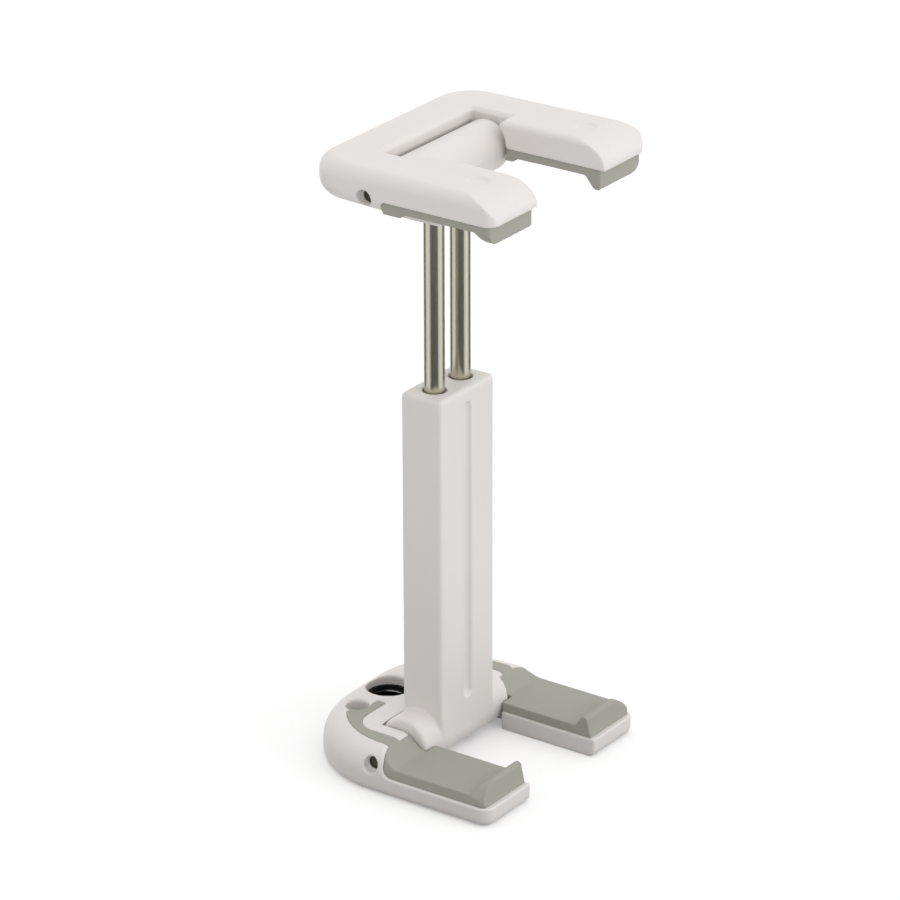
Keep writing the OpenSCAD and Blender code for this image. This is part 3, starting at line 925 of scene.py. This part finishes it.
def pin(name, z):
    """A hinge pin with domed ends."""
    profile = arc((-pin_half + pin_dome, pin_r - pin_dome), pin_dome, 180, 90, 6)
    profile += arc((pin_half - pin_dome, pin_r - pin_dome), pin_dome, 90, 0, 6)
    return lathe(profile, "x", (0, hinge_y, z), pin_steps, name)


tubes = {
    name: tube(name, side, rod_low.z, rod_high.z, rod_r, rod_r - rod_wall)
    for name, side in (("left_tube", -1), ("right_tube", 1))
}
collars = {
    name: tube(name, side, rod_low.z, rod_low.z + collar_h, collar_r, rod_r)
    for name, side in (("left_collar", -1), ("right_collar", 1))
}
pins = {"lower_pin": pin("lower_pin", low_axis_z), "upper_pin": pin("upper_pin", up_axis_z)}
print("Turned parts:", ", ".join([*tubes, *collars, *pins]))

# %% [markdown]
# ## The threaded insert
# A tripod screw has a quarter inch thread with twenty turns to the inch. Its crests are what
# shows inside the dark socket, so the thread is cut for real. A profile swept along a helix would
# have to be joined to the bore, with open ends to mend. Here the bore itself is a grid of rings,
# whose radius follows a trapezoid that climbs one pitch for each turn, so the mesh stays closed.

# %% Cut the insert
inch = 25.4
pitch = inch / 20
thread_crest = 2.6
thread_root = 3.17
mouth_widening = 0.1
insert_edge = 0.15
insert_steps = 72
rows_each_pitch = 10

# Shares of the pitch: half of the root's flat, one flank, and the widened mouth at each end.
root_half = 0.09
flank = 0.3
mouth_len = 0.6


def thread_radius(height, turn):
    """Radius of the bore at a height, for a share of a full turn."""
    phase = (height / pitch - turn) % 1
    ramp = min(max((abs(phase - 0.5) - root_half) / flank, 0), 1)
    into_mouth = min(height, insert_high.z - height) / (mouth_len * pitch)
    depth = (thread_root - thread_crest) * (1 - ramp)
    mouth = max(0, 1 - into_mouth) * (thread_root + mouth_widening - thread_crest)
    return thread_crest + max(depth, mouth)


def insert():
    work = bmesh.new()
    rows = round(insert_high.z / pitch * rows_each_pitch)
    levels = [insert_high.z * i / rows for i in range(rows + 1)]
    outer = [
        (insert_high.z, insert_r - insert_edge), (insert_high.z - insert_edge, insert_r),
        (insert_edge, insert_r), (0, insert_r - insert_edge),
    ]
    loops = [
        [(thread_radius(level, i / insert_steps), level) for i in range(insert_steps)]
        for level in levels
    ]
    loops += [[(radius, level)] * insert_steps for level, radius in outer]
    rings = [
        [
            work.verts.new((
                radius * math.cos(2 * math.pi * i / insert_steps),
                radius * math.sin(2 * math.pi * i / insert_steps),
                level,
            ))
            for i, (radius, level) in enumerate(loop)
        ]
        for loop in loops
    ]
    for near, far_ring in zip(rings, rings[1:] + rings[:1]):
        for i in range(insert_steps):
            k = (i + 1) % insert_steps
            work.faces.new((near[i], near[k], far_ring[k], far_ring[i]))
    return to_object("tripod_thread_insert", work)


insert_piece = insert()
print("Insert with", round(insert_high.z / pitch, 1), "turns of thread")

# %% [markdown]
# ## The springs
# Each tube hides an extension spring that hooks round both hinge pins. A spring follows a path by
# rule, which suits Geometry Nodes: a spiral for the coils, an arc for each hook, and one round
# wire swept along all three. The tree has named inputs, and what it makes is turned into a plain
# mesh before the piece joins its body.

# %% One helper that adds a node
def add(tree, kind, values=None, links=None, **settings):
    """Adds a node with settings, socket values and incoming links."""
    made = tree.nodes.new(kind)
    for name, value in settings.items():
        setattr(made, name, value)
    for name, value in (values or {}).items():
        made.inputs[name].default_value = value
    for name, source in (links or {}).items():
        tree.links.new(source, made.inputs[name])
    return made


print("Nodes are added in Blender", bpy.app.version_string)

# %% Build the springs' tree
spring_turns = 48
coil_play = 0.15
coil_r = rod_r - rod_wall - wire_r - coil_play
hook_neck = 1.1
coil_gap = hook_r + hook_neck
coil_points = 20
hook_points = 32
wire_sides = 8
hook_sweep = 300
hook_turns = {"foot": 120, "top": -60}


def spring_tree():
    tree = bpy.data.node_groups.new("extension_spring", "GeometryNodeTree")
    sizes = {
        "Coil radius": coil_r, "Wire radius": wire_r, "Foot": coil_gap,
        "Length": up_axis_z - low_axis_z - 2 * coil_gap, "Turns": float(spring_turns),
        "Hook radius": hook_r, "Hook offset": hinge_y - rod_y, "Span": up_axis_z - low_axis_z,
    }
    for name, value in sizes.items():
        socket = tree.interface.new_socket(name, in_out="INPUT", socket_type="NodeSocketFloat")
        socket.default_value = value
    metal = tree.interface.new_socket("Metal", in_out="INPUT", socket_type="NodeSocketMaterial")
    metal.default_value = None
    tree.interface.new_socket("Geometry", in_out="OUTPUT", socket_type="NodeSocketGeometry")
    given = add(tree, "NodeGroupInput").outputs
    coils = add(
        tree, "GeometryNodeCurveSpiral", {"Resolution": coil_points},
        {"Start Radius": given["Coil radius"], "End Radius": given["Coil radius"],
         "Rotations": given["Turns"], "Height": given["Length"]},
    )
    lift = add(tree, "ShaderNodeCombineXYZ", links={"Z": given["Foot"]})
    raised = add(
        tree, "GeometryNodeTransform",
        links={"Geometry": coils.outputs["Curve"], "Translation": lift.outputs["Vector"]},
    )
    parts = [raised.outputs["Geometry"]]
    for end, turn in hook_turns.items():
        hook = add(
            tree, "GeometryNodeCurveArc",
            {"Resolution": hook_points, "Start Angle": 0.0,
             "Sweep Angle": math.radians(hook_sweep)},
            {"Radius": given["Hook radius"]}, mode="RADIUS",
        )
        links = {"Y": given["Hook offset"]}
        if end == "top":
            links["Z"] = given["Span"]
        where = add(tree, "ShaderNodeCombineXYZ", links=links)
        placed = add(
            tree, "GeometryNodeTransform",
            {"Rotation": (math.radians(turn), 0.0, math.radians(90))},
            {"Geometry": hook.outputs["Curve"], "Translation": where.outputs["Vector"]},
        )
        parts.append(placed.outputs["Geometry"])
    joined = add(tree, "GeometryNodeJoinGeometry")
    for part in reversed(parts):
        tree.links.new(part, joined.inputs["Geometry"])
    wire = add(
        tree, "GeometryNodeCurvePrimitiveCircle", {"Resolution": wire_sides},
        {"Radius": given["Wire radius"]}, mode="RADIUS",
    )
    swept = add(
        tree, "GeometryNodeCurveToMesh", {"Fill Caps": True},
        {"Curve": joined.outputs["Geometry"], "Profile Curve": wire.outputs["Curve"]},
    )
    real = add(tree, "GeometryNodeRealizeInstances", links={"Geometry": swept.outputs["Mesh"]})
    painted = add(
        tree, "GeometryNodeSetMaterial",
        links={"Geometry": real.outputs["Geometry"], "Material": given["Metal"]},
    )
    add(tree, "NodeGroupOutput", links={"Geometry": painted.outputs["Geometry"]})
    return tree


springs_tree = spring_tree()
print("Springs' inputs:", [item.name for item in springs_tree.interface.items_tree])

# %% [markdown]
# ## Materials
# Colours are written as they look on a screen and turned to linear light by one function. Each
# finish gets its fine surface from a pattern whose scale is worked out from a real size.

# %% Colour and pattern helpers
def linear(code):
    """An sRGB hex colour as linear red, green, blue and alpha."""
    parts = [int(code[i:i + 2], 16) / 255 for i in (0, 2, 4)]
    return (*[c / 12.92 if c <= 0.04045 else ((c + 0.055) / 1.055) ** 2.4 for c in parts], 1.0)


def per_metre(size_mm):
    """How often a pattern of that size repeats in a metre."""
    return 1000 / size_mm


def new_material(name, **surface):
    """A material with its Principled surface's plain values set."""
    material = bpy.data.materials.new(name)
    material.use_nodes = True
    tree = material.node_tree
    shader = tree.nodes["Principled BSDF"]
    for socket, value in surface.items():
        shader.inputs[socket.replace("_", " ")].default_value = value
    return material, tree, shader


print(f"A pattern of one millimetre repeats {per_metre(1):.0f} times in a metre")

# %% [markdown]
# The jaws, the column and the head are moulded ABS in a warm white. The mould was lightly
# spark-eroded, which leaves a satin skin of fine pits, and there is a very slight drift of tone
# where the plastic flowed. Real pits are a few hundredths of a millimetre across, too fine to
# show, so they are drawn about a sixth of a millimetre across. The rubber grips come from such a
# mould too, so one function makes both finishes.

# %% Moulded white ABS
def moulded(name, roughness, ior, drift, tones, grain, bump):
    """A moulding that drifts between two tones under a fine grain. The drift and the grain give
    a size in millimetres and a detail, and the bump gives a strength and a depth in millimetres."""
    material, tree, shader = new_material(name, Roughness=roughness, IOR=ior)
    where = add(tree, "ShaderNodeTexCoord").outputs["Object"]
    flow, pits = [
        add(
            tree, "ShaderNodeTexNoise", {"Scale": per_metre(size_mm), "Detail": detail},
            {"Vector": where},
        )
        for size_mm, detail in (drift, grain)
    ]
    tone = add(tree, "ShaderNodeMix", data_type="RGBA", links={"Factor": flow.outputs["Fac"]})
    for socket, colour in zip("AB", tones):
        tone.inputs[socket].default_value = linear(colour)
    tree.links.new(tone.outputs["Result"], shader.inputs["Base Color"])
    skin = add(
        tree, "ShaderNodeBump", {"Strength": bump[0], "Distance": bump[1] * MM},
        {"Height": pits.outputs["Fac"]},
    )
    tree.links.new(skin.outputs["Normal"], shader.inputs["Normal"])
    return material


white = moulded(
    "moulded_white_abs", roughness=0.42, ior=1.53, drift=(14, 2.0), tones=("E3DFDC", "E0DBD8"),
    grain=(0.32, 3.0), bump=(0.12, 0.04),
)
print("Made", white.name)

# %% [markdown]
# The grips are moulded thermoplastic rubber, a warm grey. It is matt, because its skin is rougher
# than the plastic's. Its grain is drawn coarser than the real one too, so that it shows.

# %% Moulded grey rubber
rubber = moulded(
    "moulded_grey_rubber", roughness=0.62, ior=1.5, drift=(5, 3.0), tones=("A4A39A", "9F9E95"),
    grain=(0.25, 4.0), bump=(0.3, 0.05),
)
print("Made", rubber.name)

# %% [markdown]
# The tubes are drawn steel with bright nickel plating. Drawing leaves fine lines along the tube,
# so the pattern is stretched a hundredfold along Z, and it only ruffles the reflection sideways.
# The pins and collars are darker steel with lines along the pins, and the pins' dark tone is
# partly painted shade for their deep holes. The springs are bare drawn wire. Real lines are a few
# hundredths of a millimetre wide and are drawn about ten times as wide.

# %% Steels
line_depth = 0.02


def steel(name, colour, roughness, stretch, line_mm, strength):
    """A metal with lines that run along the axis on which stretch is smallest."""
    material, tree, shader = new_material(
        name, Metallic=1.0, Roughness=roughness, Base_Color=linear(colour)
    )
    where = add(tree, "ShaderNodeTexCoord").outputs["Object"]
    along = add(tree, "ShaderNodeMapping", {"Scale": stretch}, {"Vector": where})
    lines = add(
        tree, "ShaderNodeTexNoise", {"Scale": per_metre(line_mm), "Detail": 4.0},
        {"Vector": along.outputs["Vector"]},
    )
    skin = add(
        tree, "ShaderNodeBump", {"Strength": strength, "Distance": line_depth * MM},
        {"Height": lines.outputs["Fac"]},
    )
    tree.links.new(skin.outputs["Normal"], shader.inputs["Normal"])
    return material


plated = steel(
    "drawn_nickel_plated_steel", "C4C1B0", roughness=0.27, stretch=(1, 1, 0.01), line_mm=0.3,
    strength=0.12,
)
# The pins' dark base colour is partly painted shade, standing in for the shade deep in their holes.
ground_steel_darkened_for_shade = steel(
    "ground_steel_pin_darkened_for_shade", "48423A", roughness=0.35, stretch=(0.02, 1, 1), line_mm=0.15, strength=0.2
)
music_wire = steel(
    "music_wire", "A9A6A0", roughness=0.28, stretch=(1, 1, 0.2), line_mm=0.2, strength=0.15
)
print("Made", plated.name, ground_steel_darkened_for_shade.name, music_wire.name)

# %% [markdown]
# The insert is free-cutting steel, blackened. The black rubs off first on the thread's crests,
# where the tripod's screw slides, so the distance from the axis turns black into bare metal.

# %% Blackened steel
bare_to, black_from = thread_crest + 0.02, thread_crest + 0.16


def blackened_steel():
    material, tree, shader = new_material("blackened_turned_steel", Metallic=1.0)
    where = add(tree, "ShaderNodeTexCoord").outputs["Object"]
    flat = add(tree, "ShaderNodeMapping", {"Scale": (1, 1, 0)}, {"Vector": where})
    out = add(
        tree, "ShaderNodeVectorMath", links={"Vector": flat.outputs["Vector"]}, operation="LENGTH"
    )
    worn = add(
        tree, "ShaderNodeMapRange",
        {"From Min": bare_to * MM, "From Max": black_from * MM, "To Min": 1.0, "To Max": 0.0},
        {"Value": out.outputs["Value"]},
    )
    flecks = add(
        tree, "ShaderNodeTexNoise", {"Scale": per_metre(0.4), "Detail": 3.0}, {"Vector": where}
    )
    mask = add(
        tree, "ShaderNodeMath", operation="MULTIPLY",
        links={0: worn.outputs["Result"], 1: flecks.outputs["Fac"]},
    )
    tone = add(tree, "ShaderNodeMix", data_type="RGBA", links={"Factor": mask.outputs["Value"]})
    tone.inputs["A"].default_value = linear("111112")
    tone.inputs["B"].default_value = linear("D6D2C8")
    tree.links.new(tone.outputs["Result"], shader.inputs["Base Color"])
    gloss = add(
        tree, "ShaderNodeMapRange", {"To Min": 0.34, "To Max": 0.2},
        {"Value": mask.outputs["Value"]},
    )
    tree.links.new(gloss.outputs["Result"], shader.inputs["Roughness"])
    return material


black_steel = blackened_steel()
print("Made", black_steel.name)

# %% [markdown]
# ## Seat each piece on its body
# A finished piece is scaled to metres, shaded smooth, given its material and tied to the body it
# moves with, and the solid that it stands for is hidden.

# %% Finish and seat the pieces
turned_edge = 40


def seat(piece, material, body, node, sharp=None):
    """Finishes a piece. Edges that turn by more degrees than sharp stay crisp."""
    piece.data.transform(Matrix.Scale(MM, 4))
    piece.data.shade_smooth()
    if sharp is not None:
        piece.data.set_sharp_from_angle(angle=math.radians(sharp))
    piece.data.materials.clear()
    piece.data.materials.append(material)
    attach(piece, body)
    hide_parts(node)
    print(f"{piece.name} stands for {node} on {body}")
    return piece


seat(jaw_below, white, "base", "lower_jaw")
seat(grip_below_left, rubber, "base", "lower_left_pad")
seat(grip_below_right, rubber, "base", "lower_right_pad")
seat(insert_piece, black_steel, "base", "tripod_insert", turned_edge)
seat(pins["lower_pin"], ground_steel_darkened_for_shade, "base", "lower_hinge_pin", turned_edge)
seat(post_piece, white, "post", "column")
seat(head_piece, white, "slider", "head_block")
seat(jaw_above, white, "top_jaw", "upper_jaw")
seat(grip_above_left, rubber, "top_jaw", "upper_left_pad")
seat(grip_above_right, rubber, "top_jaw", "upper_right_pad")
seat(pins["upper_pin"], ground_steel_darkened_for_shade, "top_jaw", "upper_hinge_pin", turned_edge)
for side in ("left", "right"):
    tube_piece, collar = tubes[side + "_tube"], collars[side + "_collar"]
    seat(tube_piece, plated, "slider", side + "_rod", turned_edge)
    seat(collar, ground_steel_darkened_for_shade, "slider", side + "_rod_collar", turned_edge)

# %% [markdown]
# A spring is stretched at rest and shortens as the clamp closes. The piece is made once, at its
# rest length, and moves with the column.


def spring(name, side):
    """A spring settled to a plain mesh and moved into its tube."""
    piece = bpy.data.objects.new(name, bpy.data.meshes.new(name))
    bpy.context.scene.collection.objects.link(piece)
    winding = piece.modifiers.new("winding", "NODES")
    winding.node_group = springs_tree
    sockets = {item.name: item.identifier for item in springs_tree.interface.items_tree}
    winding[sockets["Metal"]] = music_wire
    settle(piece)
    piece.data.transform(Matrix.Translation((side * rod_x, rod_y, low_axis_z)))
    return piece


for side, sign in (("left", -1), ("right", 1)):
    made = seat(
        spring(side + "_extension_spring", sign), music_wire, "post",
        side + "_spring",
    )
    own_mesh(made)

# %% [markdown]
# ## Light and floor
# The picture is lit from all sides by soft white light, with a little more from the front right,
# on a white sweep that keeps only a soft shadow. Black cards outside the picture are what the
# tubes mirror as their dark bands.

# %% Floor
floor_half = 3000.0
near_floor, far_floor = 45.0, 110.0
shaded_paper, pale_paper = 0.33, 0.8
full_white = 1.06


def is_ray(tree, rays, *kinds):
    """One for a ray of the first kind or of any other, and nought for the rest."""
    found = rays[kinds[0]]
    for kind in kinds[1:]:
        found = add(
            tree, "ShaderNodeMath", links={0: found, 1: rays[kind]}, operation="MAXIMUM"
        ).outputs["Value"]
    return found


def sweep_paper():
    """White paper that bounces less light near the clamp, where the real sweep is shaded. To the
    camera it is white with the clamp's shadow, and plain white further out, so that the flag's
    shade stays out of sight."""
    material = bpy.data.materials.new("white_paper_sweep")
    material.use_nodes = True
    tree = material.node_tree
    tree.nodes.clear()
    where = add(tree, "ShaderNodeTexCoord").outputs["Object"]
    distance = add(tree, "ShaderNodeVectorMath", links={"Vector": where}, operation="LENGTH")
    pale = add(
        tree, "ShaderNodeMapRange",
        {"From Min": near_floor * MM, "From Max": far_floor * MM,
         "To Min": shaded_paper, "To Max": pale_paper},
        {"Value": distance.outputs["Value"]}, interpolation_type="SMOOTHSTEP",
    ).outputs["Result"]
    rays = add(tree, "ShaderNodeLightPath").outputs
    shown = add(
        tree, "ShaderNodeMapRange",
        {"From Min": far_floor * MM, "From Max": 2 * far_floor * MM,
         "To Min": pale_paper, "To Max": 0.0},
        {"Value": distance.outputs["Value"]}, interpolation_type="SMOOTHSTEP",
    ).outputs["Result"]
    pale = add(
        tree, "ShaderNodeMix", data_type="FLOAT",
        links={"Factor": rays["Is Camera Ray"], "A": pale, "B": shown},
    ).outputs["Result"]
    tone = add(tree, "ShaderNodeCombineColor", links={"Red": pale, "Green": pale, "Blue": pale})
    paper = add(tree, "ShaderNodeBsdfDiffuse", links={"Color": tone.outputs["Color"]})
    seen = is_ray(tree, rays, "Is Camera Ray", "Is Glossy Ray")
    rest = add(tree, "ShaderNodeMath", {0: full_white}, {1: pale}, operation="SUBTRACT")
    lift = add(
        tree, "ShaderNodeMath", links={0: rest.outputs["Value"], 1: seen}, operation="MULTIPLY"
    )
    glow = add(
        tree, "ShaderNodeEmission", {"Color": (1, 1, 1, 1)}, {"Strength": lift.outputs["Value"]}
    )
    both = add(tree, "ShaderNodeAddShader", links={0: paper.outputs[0], 1: glow.outputs[0]})
    add(tree, "ShaderNodeOutputMaterial", links={"Surface": both.outputs[0]})
    return material


def sheet(name, corners, material):
    """A flat four-sided stage piece, in millimetres."""
    mesh = bpy.data.meshes.new(name)
    mesh.from_pydata([Vector(c) * MM for c in corners], [], [range(len(corners))])
    piece = bpy.data.objects.new(name, mesh)
    bpy.context.scene.collection.objects.link(piece)
    mesh.materials.append(material)
    return piece


sheet(
    "floor",
    [(-floor_half, -floor_half, 0), (floor_half, -floor_half, 0),
     (floor_half, floor_half, 0), (-floor_half, floor_half, 0)],
    sweep_paper(),
)
print(f"The sweep is {2 * floor_half * MM:.0f} m wide and shaded within {near_floor:.0f} mm")

# %% [markdown]
# The tubes mirror the table around the clamp, so their dark bands come from black cards that lie
# on it outside the picture: a wide one towards the camera, and a narrow one on each side. A black
# flag on the left keeps light off that side, as it is the darker one in the picture. Each card is
# hidden from the rays that it isn't meant for.

# %% Black cards
black_card, _, _ = new_material("black_card", Base_Color=linear("141210"), Roughness=0.9)
card_near, card_far, card_z = 95.0, 420.0, 1.0
flag_x, flag_half, flag_z = -700.0, 190.0, 20.0


def floor_card(name, start, end, steps=8):
    """A black sector on the floor between two angles from the camera's direction."""
    _, _, back = camera_axes()
    front = math.atan2(back.y, back.x)
    angles = [front + math.radians(start + (end - start) * i / steps) for i in range(steps + 1)]
    corners = [
        (reach * math.cos(a), rod_y + reach * math.sin(a), card_z)
        for reach, turns in ((card_near, angles), (card_far, angles[::-1])) for a in turns
    ]
    card = sheet(name, corners, black_card)
    card.visible_camera = card.visible_diffuse = card.visible_shadow = False
    card.visible_transmission = False


floor_card("front_card", -44, 44)
floor_card("left_card", 100, 132)
floor_card("right_card", -132, -100)

flag = sheet(
    "left_flag",
    [(flag_x, -flag_half, flag_z), (flag_x, flag_half, flag_z),
     (flag_x, flag_half, 2 * flag_half), (flag_x, -flag_half, 2 * flag_half)],
    black_card,
)
flag.visible_camera = flag.visible_glossy = flag.visible_transmission = False
print(f"Three cards lie {card_near:.0f} mm out, and a flag stands {-flag_x:.0f} mm to the left")

# %% Lamps and world
def area_lamp(name, place, size, power):
    """A square soft lamp that looks at the middle of the clamp."""
    lamp = bpy.data.objects.new(name, bpy.data.lights.new(name, "AREA"))
    lamp.data.size, lamp.data.energy = size * MM, power
    lamp.location = Vector(place) * MM
    aim = Vector((0, rod_y, AIM_HEIGHT)) * MM
    lamp.rotation_mode = "QUATERNION"
    lamp.rotation_quaternion = (aim - lamp.location).to_track_quat("-Z", "Y")
    bpy.context.scene.collection.objects.link(lamp)
    print(f"{name}: {size} mm wide, {power} W")


area_lamp("front_softbox", place=(250, -1200, 380), size=900, power=3.4)
area_lamp("overhead_softbox", place=(0, 0, 1300), size=1000, power=1.0)


def world_light(strength):
    """White light from all sides. Rays that only show or mirror the world see it as plain white."""
    world = bpy.data.worlds.new("studio")
    bpy.context.scene.world = world
    world.use_nodes = True
    tree = world.node_tree
    tree.nodes.clear()
    rays = add(tree, "ShaderNodeLightPath").outputs
    seen = is_ray(tree, rays, "Is Camera Ray", "Is Glossy Ray", "Is Transmission Ray")
    level = add(
        tree, "ShaderNodeMapRange", {"To Min": strength, "To Max": 1.0}, {"Value": seen}
    )
    light = add(
        tree, "ShaderNodeBackground", {"Color": (1, 1, 1, 1)}, {"Strength": level.outputs["Result"]}
    )
    add(tree, "ShaderNodeOutputWorld", links={"Surface": light.outputs["Background"]})


world_light(strength=0.93)
bpy.context.scene.view_settings.view_transform = "Standard"
